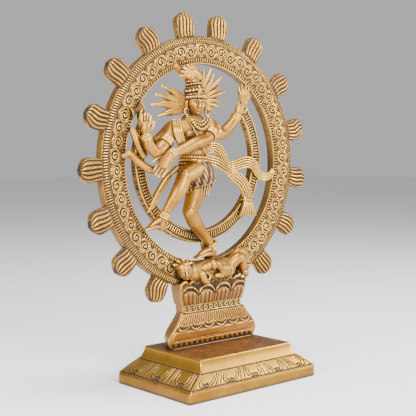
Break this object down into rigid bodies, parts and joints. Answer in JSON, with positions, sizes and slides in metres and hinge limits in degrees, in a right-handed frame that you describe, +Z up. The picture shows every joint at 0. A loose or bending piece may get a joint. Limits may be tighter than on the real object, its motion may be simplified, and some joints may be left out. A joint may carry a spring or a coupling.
{
  "type": "brass nataraja statue",
  "caption": "Cast brass dancing figure inside a ring of flames, on a lotus pedestal screwed to a stepped rectangular base.",
  "frame": {"origin": "middle of the object's footprint box, on the plane it rests on", "axes": "+Z up, -Y towards the front of the figure, +X to the viewer's right"},
  "size_m": [0.1878, 0.069, 0.2299],
  "materials": {
    "cast_brass": "antiqued cast brass, polished on the high spots and near black in the hollows",
    "polished_brass": "smooth polished brass with faint casting marks",
    "flame_brass": "antiqued cast brass with dark grooves",
    "figure_brass": "hand-polished cast brass, dark in the folds",
    "screw_steel": "plain zinc-plated steel"
  },
  "bodies": {
    "root": {"base_plinth": "polished_brass", "base_screws": "screw_steel", "screw_washers": "screw_steel", "pedestal_foot": "cast_brass", "pedestal_waist": "cast_brass", "upper_lotus": "cast_brass", "dwarf_body": "figure_brass", "dwarf_head": "figure_brass", "dwarf_arms": "figure_brass", "dwarf_legs": "figure_brass", "outer_ring": "cast_brass", "flame_left_1": "flame_brass", "flame_left_2": "flame_brass", "flame_left_3": "flame_brass", "flame_left_4": "flame_brass", "flame_left_5": "flame_brass", "flame_left_6": "flame_brass", "flame_left_7": "flame_brass", "flame_left_8": "flame_brass", "flame_right_1": "flame_brass", "flame_right_2": "flame_brass", "flame_right_3": "flame_brass", "flame_right_4": "flame_brass", "flame_right_5": "flame_brass", "flame_right_6": "flame_brass", "flame_right_7": "flame_brass", "inner_hoop": "cast_brass", "ring_lug": "cast_brass", "hoop_tie": "cast_brass", "torso": "figure_brass", "head": "figure_brass", "ear_rings": "figure_brass", "crown": "figure_brass", "topknot": "figure_brass", "hair_fan_left": "figure_brass", "hair_fan_right": "figure_brass", "front_arm_raised": "figure_brass", "front_arm_crossing": "figure_brass", "rear_arm_drum": "figure_brass", "rear_arm_flame": "figure_brass", "hand_drum": "figure_brass", "hand_flame": "figure_brass", "shoulder_scarf": "figure_brass", "waist_belt": "figure_brass", "dhoti": "figure_brass", "standing_leg": "figure_brass", "raised_leg": "figure_brass", "thigh_cloth": "figure_brass", "sash": "figure_brass", "sash_tassel": "figure_brass", "snake": "figure_brass"}
  },
  "joints": []
}
